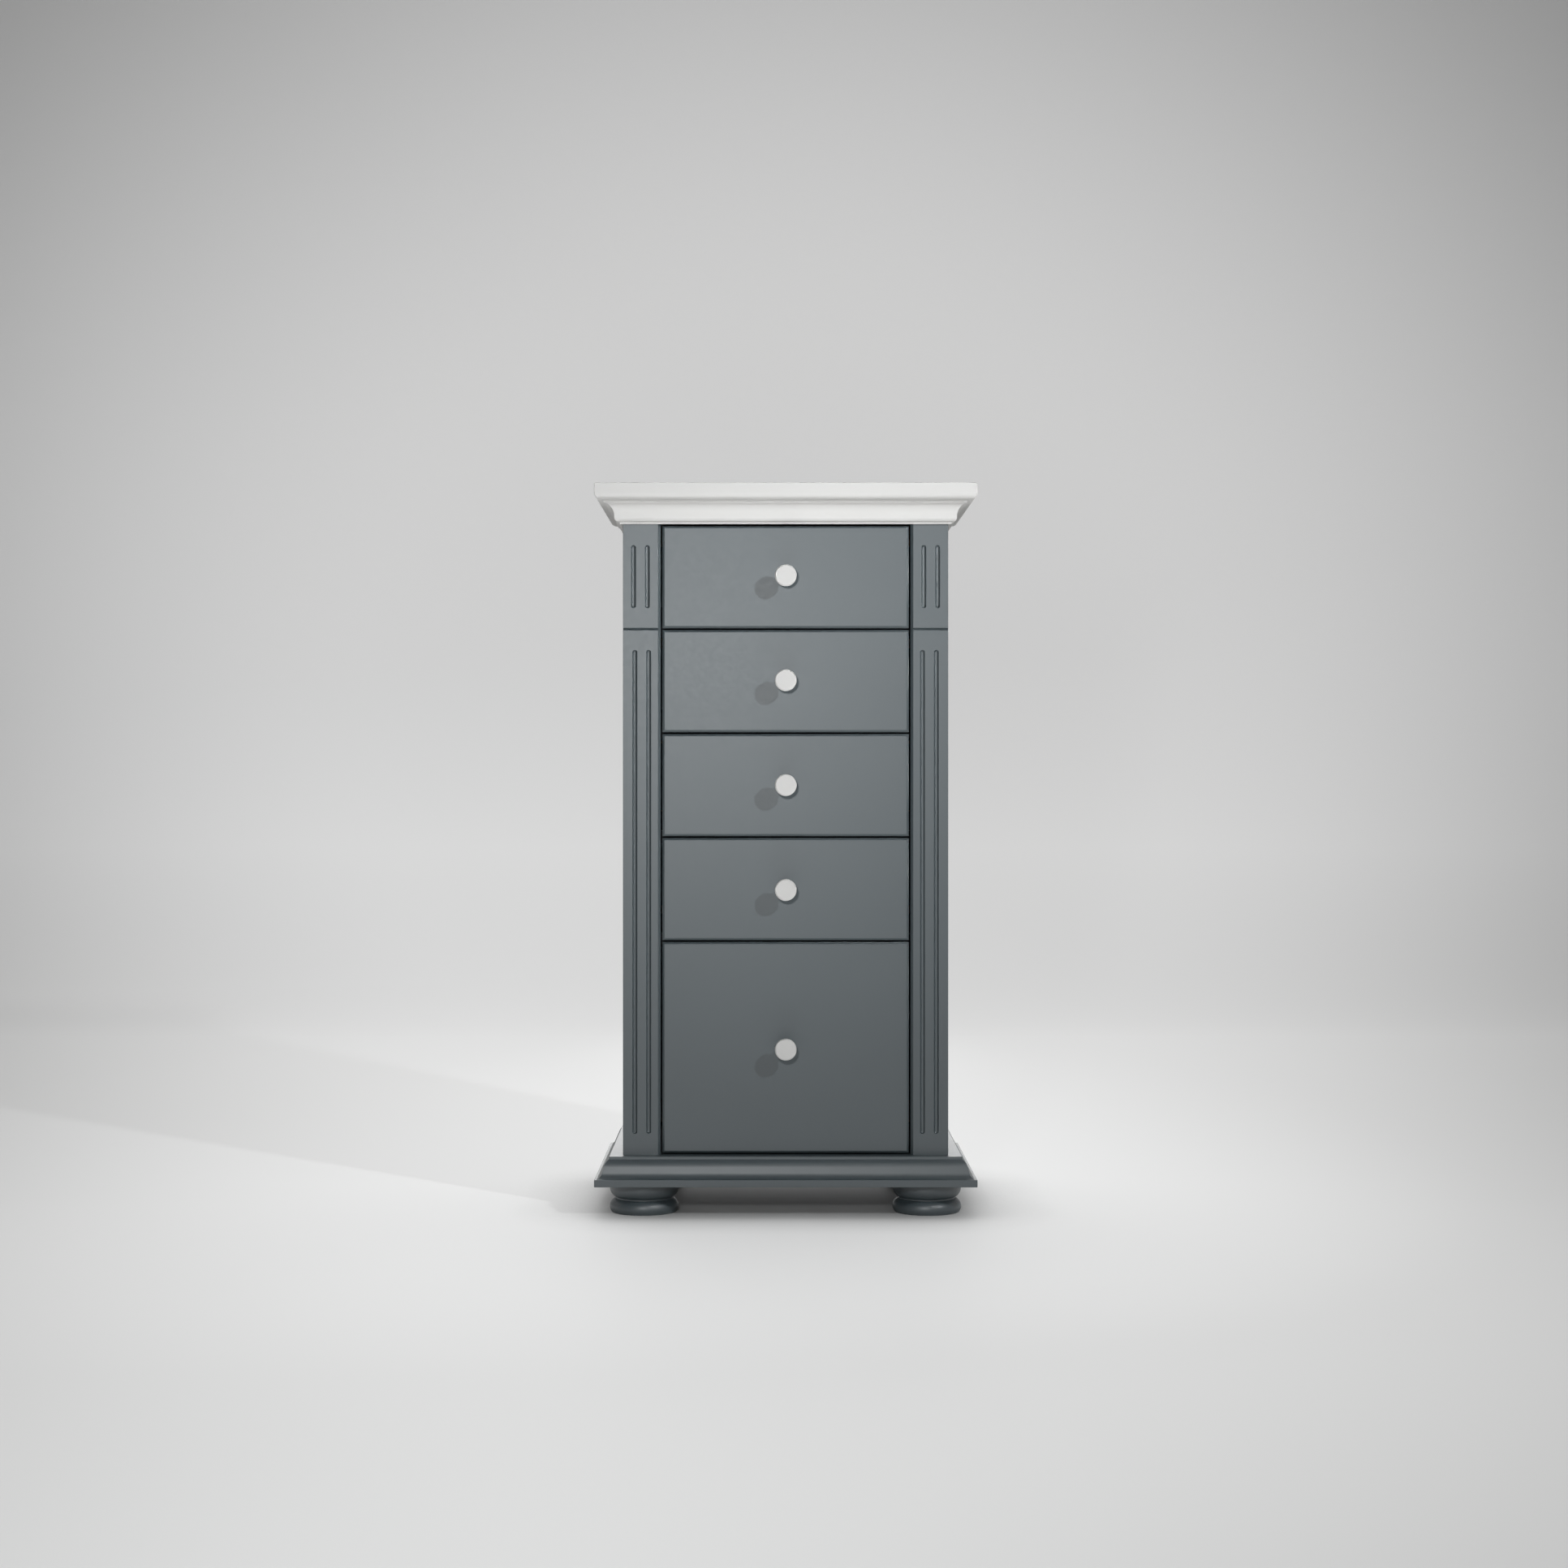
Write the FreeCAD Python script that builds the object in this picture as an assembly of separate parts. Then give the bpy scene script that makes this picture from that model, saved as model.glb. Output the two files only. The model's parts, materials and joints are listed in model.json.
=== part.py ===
import FreeCAD, Part
import os
from math import hypot, sqrt

# A tall narrow chest of drawers on bun feet: four shallow drawers over one deep drawer, between
# fluted pilasters, under an overhanging top with a cove cornice, on a moulded plinth.
# Millimetres, +Z up, front towards -Y. The origin is on the floor under the middle of the footprint.

Vector = FreeCAD.Vector
UP = Vector(0, 0, 1)
FORWARD = Vector(0, -1, 0)
SIDES = {"left": -1, "right": 1}

# Case
case_width = 480.0
case_depth = 360.0
overhang = 40.0                 # of the top and the plinth, past the front and sides of the case
side_thickness = 18.0
bottom_thickness = 18.0
back_thickness = 6.0
back_rebate = 8.0               # width of the rebate in the rear edge of each side
rear_rail_thickness = 22.0

# Drawer fronts, which set the height of the case
small_drawers = 4
small_front_height = 151.0
deep_front_height = 311.5
front_gap = 2.5
front_bevel = 3.2

# Pilasters
pilaster_width = 55.6
pilaster_thickness = 22.0
pilaster_bevel = 4.0
flute_radius = 3.4
flute_spacing = 20.4
flute_end_margin = 31.0         # from the end of a flute to the end of its panel
groove_width = 3.5
groove_depth = 2.5

# Top and cornice
top_thickness = 24.0
top_edge_radius = 9.5
top_easing = 1.2
cornice_height = 33.0
cornice_foot = 4.7              # overhang of the lowest fillet
cornice_foot_height = 3.0
cornice_quirk = 1.5             # step from that fillet out to the ovolo
cornice_ovolo = 6.0
cornice_cove = 13.0             # width
cornice_cove_height = 18.0
cornice_quirk_top = 1.7
cornice_fillet_height = 3.3

# Plinth
plinth_height = 42.0
plinth_base_height = 10.7
plinth_base_step = 3.4          # ledge on the base fillet, outside the cove
plinth_cove = 7.8               # width
plinth_cove_height = 8.8
plinth_band_height = 7.0
plinth_batter = 1.1             # lean of the band between the cove and the ovolo
plinth_ovolo = 7.8              # width
plinth_fillet_height = 3.8

# Feet
foot_height = 45.0
foot_radius = 51.0
foot_inset = 70.0               # from the outer edges of the plinth to the foot's axis
foot_neck_cut = 9.0             # depth of the neck, in from the foot's outer radius
foot_bun_height = 20.0
foot_bun_widest = 8.0           # height of the bun's widest ring
foot_ring_height = 1.6
foot_rim_height = 9.0
foot_bolt_radius = 4.0
foot_bolt_grip = 26.0           # length of the bolt inside the foot
bolt_head_radius = 6.5
bolt_head_height = 8.0
bolt_socket_radius = 2.9        # to the corners of the hexagon
bolt_socket_sides = 6
bolt_socket_depth = 4.0
bolt_sink = 0.5                 # of the head under the face of the bottom board

# Rails and runners inside
rail_thickness = 18.0
rail_depth = 45.0
rail_housing = 6.0              # of the rail's ends in the sides
guide_height = 28.0             # of the runner's upright leg above its ledge
ledge_margin = 2.0              # ledge past the inner face of the drawer side
runner_screw_shares = (0.14, 0.86)
screw_radius = 2.0
screw_head_radius = 4.0
screw_head_height = 2.6
screw_grip = 14.0               # wood of the runner under the screw head
screw_bite = 11.0               # length of the screw in the side panel

# Drawer boxes
box_side_thickness = 12.0
box_back_thickness = 12.0
box_bottom_thickness = 6.0
box_inset = 1.4                 # outer face of the box in from the edge of the front
box_tenon = 7.0                 # of the sides in the back of the front
bottom_raise = 8.0              # underside of the drawer bottom above the lower edge of the sides
bottom_tongue = 5.0             # of the drawer bottom in its grooves
rear_clearance = 8.0
head_clearance = 6.0            # above the drawer sides

# Knobs
knob_radius = 16.0
knob_projection = 34.0
knob_base_radius = 9.0
knob_base_height = 1.8
knob_neck_radius = 6.5
knob_neck_distance = 9.0
knob_head_thickness = 4.5       # of the rim, back from the face
knob_back_step = 4.5            # from the rim in to the flare of the neck
knob_back_depth = 2.0           # of the slope behind the rim
knob_edge_round = 2.6
knob_screw_radius = 2.0
knob_screw_bite = 20.0          # length of the screw in the knob
knob_screw_head_radius = 4.5
knob_screw_head_height = 2.6

# Clearances
run_clearance = 0.3             # under the drawer sides
guide_clearance = 0.8           # beside the drawer sides
stop_clearance = 0.3            # between a closed front and the rails behind it
glue_fit = 0.1
hole_fit = 0.1                  # radial, round screws and bolts
cut_overrun = 5.0

# Places worked out from the sizes above
half_width = case_width / 2
back_y = (case_depth + overhang) / 2
front_y = back_y - case_depth
behind_front_y = front_y + pilaster_thickness
panel_y = back_y - back_thickness
rail_back_y = behind_front_y + rail_depth
inner_x = half_width - side_thickness
opening_x = half_width - pilaster_width
bottom_top_z = foot_height + bottom_thickness
opening_bottom_z = foot_height + plinth_height
drawer_pitch = small_front_height + front_gap
small_bottom_z = opening_bottom_z + front_gap + deep_front_height + front_gap
opening_top_z = small_bottom_z + small_drawers * drawer_pitch
case_top_z = opening_top_z + cornice_height
top_z = case_top_z + top_thickness

front_half = opening_x - front_gap
front_thickness = pilaster_thickness - stop_clearance
front_back_y = front_y + front_thickness
box_half = front_half - box_inset
box_inner = box_half - box_side_thickness
box_end_y = panel_y - rear_clearance
rail_overlap = (rail_thickness - front_gap) / 2
guide_x = box_half + guide_clearance
ledge_x = box_inner - ledge_margin
foot_neck_radius = foot_radius - foot_neck_cut
foot_x = half_width + overhang - foot_inset
foot_front_y = front_y - overhang + foot_inset
foot_rear_y = back_y - foot_inset


# Shapes that several pieces share

def block(xs, ys, zs):
    """A box between two limits on each axis, given in either order."""
    low = Vector(min(xs), min(ys), min(zs))
    high = Vector(max(xs), max(ys), max(zs))
    size = high - low
    return Part.makeBox(size.x, size.y, size.z, low)


def rod(radius, start, end):
    """A round rod from one point to another."""
    along = end - start
    return Part.makeCylinder(radius, along.Length, start, along)


def arc_middle(start, centre, end):
    """The point halfway along the short arc about centre, in outline coordinates."""
    radius = hypot(start[0] - centre[0], start[1] - centre[1])
    toward = (start[0] + end[0] - 2 * centre[0], start[1] + end[1] - 2 * centre[1])
    reach = hypot(*toward)
    return (centre[0] + toward[0] * radius / reach, centre[1] + toward[1] * radius / reach)


def outline_face(place, start, steps):
    """A face inside a closed outline. A step is the next corner, or (centre, end) of an arc."""
    edges = []
    here = start
    for step in steps:
        if isinstance(step[0], tuple):
            centre, end = step
            middle = arc_middle(here, centre, end)
            edges.append(Part.Arc(place(*here), place(*middle), place(*end)).toShape())
        else:
            end = step
            edges.append(Part.LineSegment(place(*here), place(*end)).toShape())
        here = end
    if here != start:
        edges.append(Part.LineSegment(place(*here), place(*start)).toShape())
    return Part.Face(Part.Wire(edges))


def tangent_radius(across, along):
    """Radius of an arc that leaves along one direction and lands across and along away."""
    return (across ** 2 + along ** 2) / (2 * across)


def tangent_centre(before, touch, end):
    """Centre of the arc that carries on a straight run, from before to touch, and lands at end."""
    run = (touch[0] - before[0], touch[1] - before[1])
    length = hypot(*run)
    aside = (-run[1] / length, run[0] / length)
    chord = (end[0] - touch[0], end[1] - touch[1])
    radius = hypot(*chord) ** 2 / (2 * (chord[0] * aside[0] + chord[1] * aside[1]))
    return (touch[0] + aside[0] * radius, touch[1] + aside[1] * radius)


def plan_prism(corners, low_z, high_z):
    """A prism on a plan outline."""
    points = [Vector(x, y, low_z) for x, y in corners]
    face = Part.Face(Part.makePolygon(points + points[:1]))
    return face.extrude(UP * (high_z - low_z))


def mitred_moulding(start, steps, low_z, high_z):
    """Front, left and right lengths of a moulding round the case, mitred at the front corners.

    The section is drawn in (overhang from the case, height).
    """
    reach = overhang + cut_overrun
    low = low_z - cut_overrun
    high = high_z + cut_overrun
    end_x = half_width + reach
    section = outline_face(lambda out, z: Vector(-end_x, front_y - out, z), start, steps)
    plan = [(-half_width, front_y), (half_width, front_y),
            (end_x, front_y - reach), (-end_x, front_y - reach)]
    lengths = {"front": section.extrude(Vector(2 * end_x, 0, 0)).common(plan_prism(plan, low, high))}
    for name, side in SIDES.items():
        section = outline_face(lambda out, z: Vector(side * (half_width + out), front_y - reach, z),
                               start, steps)
        plan = [(side * half_width, front_y), (side * half_width, back_y),
                (side * end_x, back_y), (side * end_x, front_y - reach)]
        run = section.extrude(Vector(0, case_depth + reach, 0))
        lengths[name] = run.common(plan_prism(plan, low, high))
    return lengths


# The case

def top_board():
    """The top: its lower edge is rounded at the front and sides, its upper edge is eased."""
    out_x = half_width + overhang
    out_y = front_y - overhang
    low_round = case_top_z + top_edge_radius
    high_round = top_z - top_easing
    across = outline_face(
        lambda x, z: Vector(x, out_y, z),
        (-out_x + top_edge_radius, case_top_z),
        [(out_x - top_edge_radius, case_top_z),
         ((out_x - top_edge_radius, low_round), (out_x, low_round)),
         (out_x, high_round),
         ((out_x - top_easing, high_round), (out_x - top_easing, top_z)),
         (-out_x + top_easing, top_z),
         ((-out_x + top_easing, high_round), (-out_x, high_round)),
         (-out_x, low_round),
         ((-out_x + top_edge_radius, low_round), (-out_x + top_edge_radius, case_top_z))])
    along = outline_face(
        lambda y, z: Vector(-out_x, y, z),
        (out_y + top_edge_radius, case_top_z),
        [(back_y, case_top_z),
         (back_y, top_z),
         (out_y + top_easing, top_z),
         ((out_y + top_easing, high_round), (out_y, high_round)),
         (out_y, low_round),
         ((out_y + top_edge_radius, low_round), (out_y + top_edge_radius, case_top_z))])
    return across.extrude(Vector(0, back_y - out_y, 0)).common(along.extrude(Vector(2 * out_x, 0, 0)))


def cornice():
    """Bottom fillet, ovolo, band, cove and top fillet, planted under the top."""
    ovolo_in = cornice_foot + cornice_quirk
    band = ovolo_in + cornice_ovolo
    cove_out = band + cornice_cove
    ovolo_z = opening_top_z + cornice_foot_height
    band_z = ovolo_z + cornice_ovolo
    fillet_z = case_top_z - cornice_fillet_height
    cove_z = fillet_z - cornice_cove_height
    cove_radius = tangent_radius(cornice_cove, cornice_cove_height)
    steps = [(cornice_foot, opening_top_z), (cornice_foot, ovolo_z), (ovolo_in, ovolo_z),
             ((ovolo_in, band_z), (band, band_z)), (band, cove_z),
             ((band + cove_radius, cove_z), (cove_out, fillet_z)),
             (cove_out + cornice_quirk_top, fillet_z), (cove_out + cornice_quirk_top, case_top_z),
             (0, case_top_z)]
    return mitred_moulding((0, opening_top_z), steps, opening_top_z, case_top_z)


def plinth():
    """Base fillet, an ogee of cove, leaning band and ovolo, and top fillet."""
    base_z = foot_height + plinth_base_height
    cove_end = (overhang - plinth_base_step, base_z)
    band_low = (cove_end[0] - plinth_cove, base_z + plinth_cove_height)
    band_high = (band_low[0] - plinth_batter, band_low[1] + plinth_band_height)
    ledge = band_high[0] - plinth_ovolo
    ovolo_end = (ledge, opening_bottom_z - plinth_fillet_height)
    steps = [(overhang, foot_height), (overhang, base_z), cove_end,
             (tangent_centre(band_high, band_low, cove_end), band_low), band_high,
             (tangent_centre(band_low, band_high, ovolo_end), ovolo_end), (ledge, opening_bottom_z),
             (0, opening_bottom_z)]
    return mitred_moulding((0, foot_height), steps, foot_height, opening_bottom_z)


def flute(x, low_z, high_z):
    """A round-nosed cutter's path: a rod with ball ends, its axis in the pilaster's face."""
    low = low_z + flute_radius
    high = high_z - flute_radius
    half = outline_face(lambda r, z: Vector(x + r, front_y, z), (0, low_z),
                        [((0, low), (flute_radius, low)), (flute_radius, high),
                         ((0, high), (0, high_z))])
    return half.revolve(Vector(x, front_y, 0), UP, 360)


def cross_groove(side, middle_z):
    """A V cut across the flat of a pilaster, open at its outer edge."""
    inner = side * (opening_x + pilaster_bevel)
    outer = side * (half_width + cut_overrun)
    outside_y = front_y - cut_overrun
    spread = groove_width / 2 * (groove_depth + cut_overrun) / groove_depth
    section = outline_face(lambda y, z: Vector(inner, y, z), (front_y + groove_depth, middle_z),
                           [(outside_y, middle_z + spread), (outside_y, middle_z - spread)])
    return section.extrude(Vector(outer - inner, 0, 0))


def pilaster(side):
    """A stile with a bevelled inner edge, a V groove across it, and flutes above and below that."""
    outline = [(side * half_width, front_y), (side * half_width, behind_front_y),
               (side * opening_x, behind_front_y), (side * opening_x, front_y + pilaster_bevel),
               (side * (opening_x + pilaster_bevel), front_y)]
    solid = plan_prism(outline, bottom_top_z, case_top_z)
    groove_z = opening_top_z - drawer_pitch - front_gap / 2
    shaft_centre = half_width - pilaster_width / 2
    block_centre = half_width - (pilaster_width - pilaster_bevel) / 2
    panels = [(shaft_centre, opening_bottom_z, groove_z), (block_centre, groove_z, opening_top_z)]
    cuts = [cross_groove(side, groove_z)]
    for centre, low_z, high_z in panels:
        for step in (-flute_spacing / 2, flute_spacing / 2):
            cuts.append(flute(side * (centre + step), low_z + flute_end_margin,
                              high_z - flute_end_margin))
    return solid.cut(cuts)


def rail_levels():
    """Middle heights of the gaps between neighbouring drawers, from the bottom up."""
    first = small_bottom_z - front_gap / 2
    return [first + drawer_pitch * i for i in range(small_drawers)]


def divider_rails():
    """The rails between drawers, housed in the sides. Closed drawers stop against them."""
    end_x = inner_x + rail_housing - glue_fit
    return [block((-end_x, end_x), (behind_front_y, rail_back_y),
                  (z - rail_thickness / 2, z + rail_thickness / 2)) for z in rail_levels()]


def side_panel(side):
    """A side, rebated for the back and housed for the divider rails."""
    solid = block((side * inner_x, side * half_width), (behind_front_y, back_y),
                  (bottom_top_z, case_top_z))
    rebate = block((side * (inner_x - cut_overrun), side * (inner_x + back_rebate)),
                   (panel_y, back_y + cut_overrun),
                   (bottom_top_z - cut_overrun, case_top_z + cut_overrun))
    cuts = [rebate]
    for z in rail_levels():
        cuts.append(block((side * (inner_x - cut_overrun), side * (inner_x + rail_housing)),
                          (behind_front_y - cut_overrun, rail_back_y + glue_fit),
                          (z - rail_thickness / 2 - glue_fit, z + rail_thickness / 2 + glue_fit)))
    for row in drawers():
        for y in row["screw_ys"]:
            bore_start = Vector(side * (inner_x - cut_overrun), y, row["screw_z"])
            bore_end = Vector(side * (inner_x + screw_bite + hole_fit), y, row["screw_z"])
            cuts.append(rod(screw_radius + hole_fit, bore_start, bore_end))
    return solid.cut(cuts)


def foot_places():
    """Plan positions of the feet, by name."""
    rows = {"front": foot_front_y, "rear": foot_rear_y}
    return {f"{row}_{name}": (side * foot_x, y)
            for row, y in rows.items() for name, side in SIDES.items()}


def bottom_board():
    """The board under the case, bored for the bolts of the feet."""
    solid = block((-half_width, half_width), (front_y, back_y), (foot_height, bottom_top_z))
    cuts = []
    seat_z = bottom_top_z - bolt_sink - bolt_head_height
    for x, y in foot_places().values():
        cuts.append(rod(foot_bolt_radius + hole_fit, Vector(x, y, foot_height - cut_overrun),
                        Vector(x, y, bottom_top_z)))
        cuts.append(rod(bolt_head_radius + hole_fit, Vector(x, y, seat_z),
                        Vector(x, y, bottom_top_z + cut_overrun)))
    return solid.cut(cuts)


def foot(x, y):
    """A turned foot: a flattened bun, a thin neck ring and a bowl, bored for its bolt."""
    swell = foot_radius - foot_neck_radius
    bun_round = tangent_radius(swell, foot_bun_height - foot_bun_widest)
    bun_centre = (foot_radius - bun_round, foot_bun_widest)
    floor_radius = bun_centre[0] + sqrt(bun_round ** 2 - foot_bun_widest ** 2)
    neck_top = foot_bun_height + foot_ring_height
    rim_z = foot_height - foot_rim_height
    bowl_round = tangent_radius(swell, rim_z - neck_top)
    steps = [(floor_radius, 0), (bun_centre, (foot_radius, foot_bun_widest)),
             (bun_centre, (foot_neck_radius, foot_bun_height)), (foot_neck_radius, neck_top),
             ((foot_radius - bowl_round, rim_z), (foot_radius, rim_z)),
             (foot_radius, foot_height), (0, foot_height)]
    half = outline_face(lambda r, z: Vector(x + r, y, z), (0, 0), steps)
    solid = half.revolve(Vector(x, y, 0), UP, 360)
    bore = rod(foot_bolt_radius + hole_fit, Vector(x, y, foot_height - foot_bolt_grip - hole_fit),
               Vector(x, y, foot_height + cut_overrun))
    return solid.cut(bore)


def foot_bolt(x, y):
    """A cap screw down through the bottom board into the foot."""
    seat = Vector(x, y, bottom_top_z - bolt_sink - bolt_head_height)
    crown = seat + UP * bolt_head_height
    shank = rod(foot_bolt_radius, Vector(x, y, foot_height - foot_bolt_grip), seat)
    head = rod(bolt_head_radius, seat, crown)
    spoke = Vector(bolt_socket_radius, 0, 0)
    corners = []
    for i in range(bolt_socket_sides + 1):
        corners.append(crown + FreeCAD.Rotation(UP, 360 * i / bolt_socket_sides).multVec(spoke))
    socket = Part.Face(Part.makePolygon(corners)).extrude(UP * -bolt_socket_depth)
    return shank.fuse(head).cut(socket).removeSplitter()


# The drawers and what they run on

def drawers():
    """Heights of every drawer and its runners, from the top drawer down."""
    rows = []
    for i in range(small_drawers):
        low_z = opening_top_z - front_gap - small_front_height - i * drawer_pitch
        rows.append({"low_z": low_z, "height": small_front_height, "runner_start_y": rail_back_y})
    rows.append({"low_z": opening_bottom_z + front_gap, "height": deep_front_height,
                 "runner_start_y": behind_front_y})
    for i, row in enumerate(rows):
        high_z = row["low_z"] + row["height"]
        row["name"] = f"drawer_{i + 1}"
        row["middle_z"] = row["low_z"] + row["height"] / 2
        row["ledge_z"] = row["low_z"] + rail_overlap
        row["runner_low_z"] = row["ledge_z"] - rail_thickness
        row["box_low"] = row["ledge_z"] + run_clearance
        row["box_high"] = high_z - rail_overlap - head_clearance
        row["screw_z"] = row["ledge_z"] + guide_height / 2
        run = panel_y - row["runner_start_y"]
        row["screw_ys"] = [row["runner_start_y"] + share * run for share in runner_screw_shares]
    rows[0]["box_high"] = opening_top_z - head_clearance
    rows[-1]["runner_low_z"] = bottom_top_z
    return rows


def runner(row, side):
    """An L-shaped runner: the drawer side slides on its ledge, against its upright leg."""
    ys = (row["runner_start_y"], panel_y)
    guide_top = row["ledge_z"] + guide_height
    ledge = block((side * ledge_x, side * inner_x), ys, (row["runner_low_z"], row["ledge_z"]))
    guide = block((side * guide_x, side * inner_x), ys, (row["ledge_z"], guide_top))
    cuts = []
    for y in row["screw_ys"]:
        seat = Vector(side * (inner_x - screw_grip), y, row["screw_z"])
        hole_end = Vector(side * (inner_x + cut_overrun), y, row["screw_z"])
        mouth = Vector(side * (guide_x - cut_overrun), y, row["screw_z"])
        cuts.append(rod(screw_radius + hole_fit, seat, hole_end))
        cuts.append(rod(screw_head_radius + hole_fit, seat, mouth))
    return ledge.fuse(guide).removeSplitter().cut(cuts)


def runner_screws():
    """Two screws from each runner into its side panel."""
    screws = []
    for row in drawers():
        for side in SIDES.values():
            for y in row["screw_ys"]:
                seat = Vector(side * (inner_x - screw_grip), y, row["screw_z"])
                tip = Vector(side * (inner_x + screw_bite), y, row["screw_z"])
                crown = seat - Vector(side * screw_head_height, 0, 0)
                screws.append(rod(screw_radius, seat, tip).fuse(rod(screw_head_radius, crown, seat)))
    return screws


def drawer_front(row):
    """A bevelled front, grooved at the back for the sides and the drawer bottom."""
    high_z = row["low_z"] + row["height"]
    solid = block((-front_half, front_half), (front_y, front_back_y), (row["low_z"], high_z))
    face_edges = [edge for edge in solid.Edges if edge.BoundBox.YMax < front_y + front_bevel]
    solid = solid.makeChamfer(front_bevel, face_edges)
    cuts = []
    for side in SIDES.values():
        cuts.append(block((side * (box_inner - glue_fit), side * (box_half + glue_fit)),
                          (front_back_y - box_tenon - glue_fit, front_back_y + cut_overrun),
                          (row["box_low"] - glue_fit, row["box_high"] + glue_fit)))
    groove_x = box_inner + bottom_tongue
    groove_z = row["box_low"] + bottom_raise
    cuts.append(block((-groove_x, groove_x),
                      (front_back_y - bottom_tongue, front_back_y + cut_overrun),
                      (groove_z - glue_fit, groove_z + box_bottom_thickness + glue_fit)))
    cuts.append(rod(knob_screw_radius + hole_fit, Vector(0, front_y - cut_overrun, row["middle_z"]),
                    Vector(0, front_back_y + cut_overrun, row["middle_z"])))
    return solid.cut(cuts)


def drawer_side(row, side):
    """A side let into the back of the front, grooved for the drawer bottom."""
    solid = block((side * box_inner, side * box_half), (front_back_y - box_tenon, box_end_y),
                  (row["box_low"], row["box_high"]))
    groove_z = row["box_low"] + bottom_raise
    groove = block((side * (box_inner - cut_overrun), side * (box_inner + bottom_tongue)),
                   (front_back_y - box_tenon - cut_overrun, box_end_y + cut_overrun),
                   (groove_z - glue_fit, groove_z + box_bottom_thickness + glue_fit))
    return solid.cut(groove)


def drawer_bottom(row):
    """A panel slid into the grooves from behind, under the drawer back."""
    edge_x = box_inner + bottom_tongue - glue_fit
    low_z = row["box_low"] + bottom_raise
    return block((-edge_x, edge_x), (front_back_y - bottom_tongue + glue_fit, box_end_y),
                 (low_z, low_z + box_bottom_thickness))


def drawer_back(row):
    """The back, between the sides, standing on the drawer bottom."""
    low_z = row["box_low"] + bottom_raise + box_bottom_thickness
    return block((-box_inner, box_inner), (box_end_y - box_back_thickness, box_end_y),
                 (low_z, row["box_high"]))


def knob(row):
    """A turned knob: a small base, a waisted neck and a flat-faced head, bored for its screw."""
    rim_out = knob_projection - knob_head_thickness
    flare_end = (knob_radius - knob_back_step, rim_out - knob_back_depth)
    waist = tangent_radius(knob_base_radius - knob_neck_radius, knob_neck_distance - knob_base_height)
    flare = tangent_radius(flare_end[0] - knob_neck_radius, flare_end[1] - knob_neck_distance)
    edge_out = knob_projection - knob_edge_round
    face_radius = knob_radius - knob_edge_round
    steps = [(knob_base_radius, 0), (knob_base_radius, knob_base_height),
             ((knob_neck_radius + waist, knob_neck_distance), (knob_neck_radius, knob_neck_distance)),
             ((knob_neck_radius + flare, knob_neck_distance), flare_end),
             (knob_radius, rim_out), (knob_radius, edge_out),
             ((face_radius, edge_out), (face_radius, knob_projection)),
             (0, knob_projection)]
    half = outline_face(lambda r, out: Vector(r, front_y - out, row["middle_z"]), (0, 0), steps)
    solid = half.revolve(Vector(0, front_y, row["middle_z"]), FORWARD, 360)
    bore = rod(knob_screw_radius + hole_fit, Vector(0, front_y + cut_overrun, row["middle_z"]),
               Vector(0, front_y - knob_screw_bite - hole_fit, row["middle_z"]))
    return solid.cut(bore)


def knob_screw(row):
    """A screw from inside the drawer, through the front, into the knob."""
    seat = Vector(0, front_back_y, row["middle_z"])
    tip = Vector(0, front_y - knob_screw_bite, row["middle_z"])
    crown = seat - FORWARD * knob_screw_head_height
    return rod(knob_screw_radius, seat, tip).fuse(rod(knob_screw_head_radius, seat, crown))


def all_nodes():
    """Every piece of the chest, by node name."""
    nodes = {"top_board": top_board()}
    for name, length in cornice().items():
        nodes[f"cornice_{name}"] = length
    for name, length in plinth().items():
        nodes[f"plinth_{name}"] = length
    for name, side in SIDES.items():
        nodes[f"side_panel_{name}"] = side_panel(side)
        nodes[f"pilaster_{name}"] = pilaster(side)
        nodes[f"runners_{name}"] = Part.makeCompound([runner(row, side) for row in drawers()])
    nodes["runner_screws"] = Part.makeCompound(runner_screws())
    nodes["divider_rails"] = Part.makeCompound(divider_rails())
    nodes["bottom_board"] = bottom_board()
    panel_x = inner_x + back_rebate - glue_fit
    nodes["back_panel"] = block((-panel_x, panel_x), (panel_y, back_y), (bottom_top_z, case_top_z))
    nodes["top_rail_front"] = block((-opening_x, opening_x), (front_y, behind_front_y),
                                    (opening_top_z, case_top_z))
    nodes["top_rail_rear"] = block((-inner_x, inner_x), (panel_y - rear_rail_thickness, panel_y),
                                   (opening_top_z, case_top_z))
    nodes["bottom_rail_front"] = block((-opening_x, opening_x), (front_y, behind_front_y),
                                       (bottom_top_z, opening_bottom_z))
    for name, place in foot_places().items():
        nodes[f"foot_{name}"] = foot(*place)
    nodes["foot_bolts"] = Part.makeCompound([foot_bolt(*place) for place in foot_places().values()])
    for row in drawers():
        nodes[row["name"] + "_front"] = drawer_front(row)
        for name, side in SIDES.items():
            nodes[f"{row['name']}_side_{name}"] = drawer_side(row, side)
        nodes[row["name"] + "_back"] = drawer_back(row)
        nodes[row["name"] + "_bottom"] = drawer_bottom(row)
        nodes[row["name"] + "_knob"] = knob(row)
        nodes[row["name"] + "_knob_screw"] = knob_screw(row)
    return nodes


os.makedirs("parts", exist_ok=True)
for node, shape in all_nodes().items():
    if not shape.isValid():
        raise ValueError(f"{node} is not a valid solid")
    shape.exportStep(f"parts/{node}.step")
    print(f"{node}: {len(shape.Solids)} solid(s), {shape.Volume:.0f} mm3")
print(f"overall {case_width + 2 * overhang:.1f} x {case_depth + overhang:.1f} x {top_z:.1f} mm")
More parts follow.
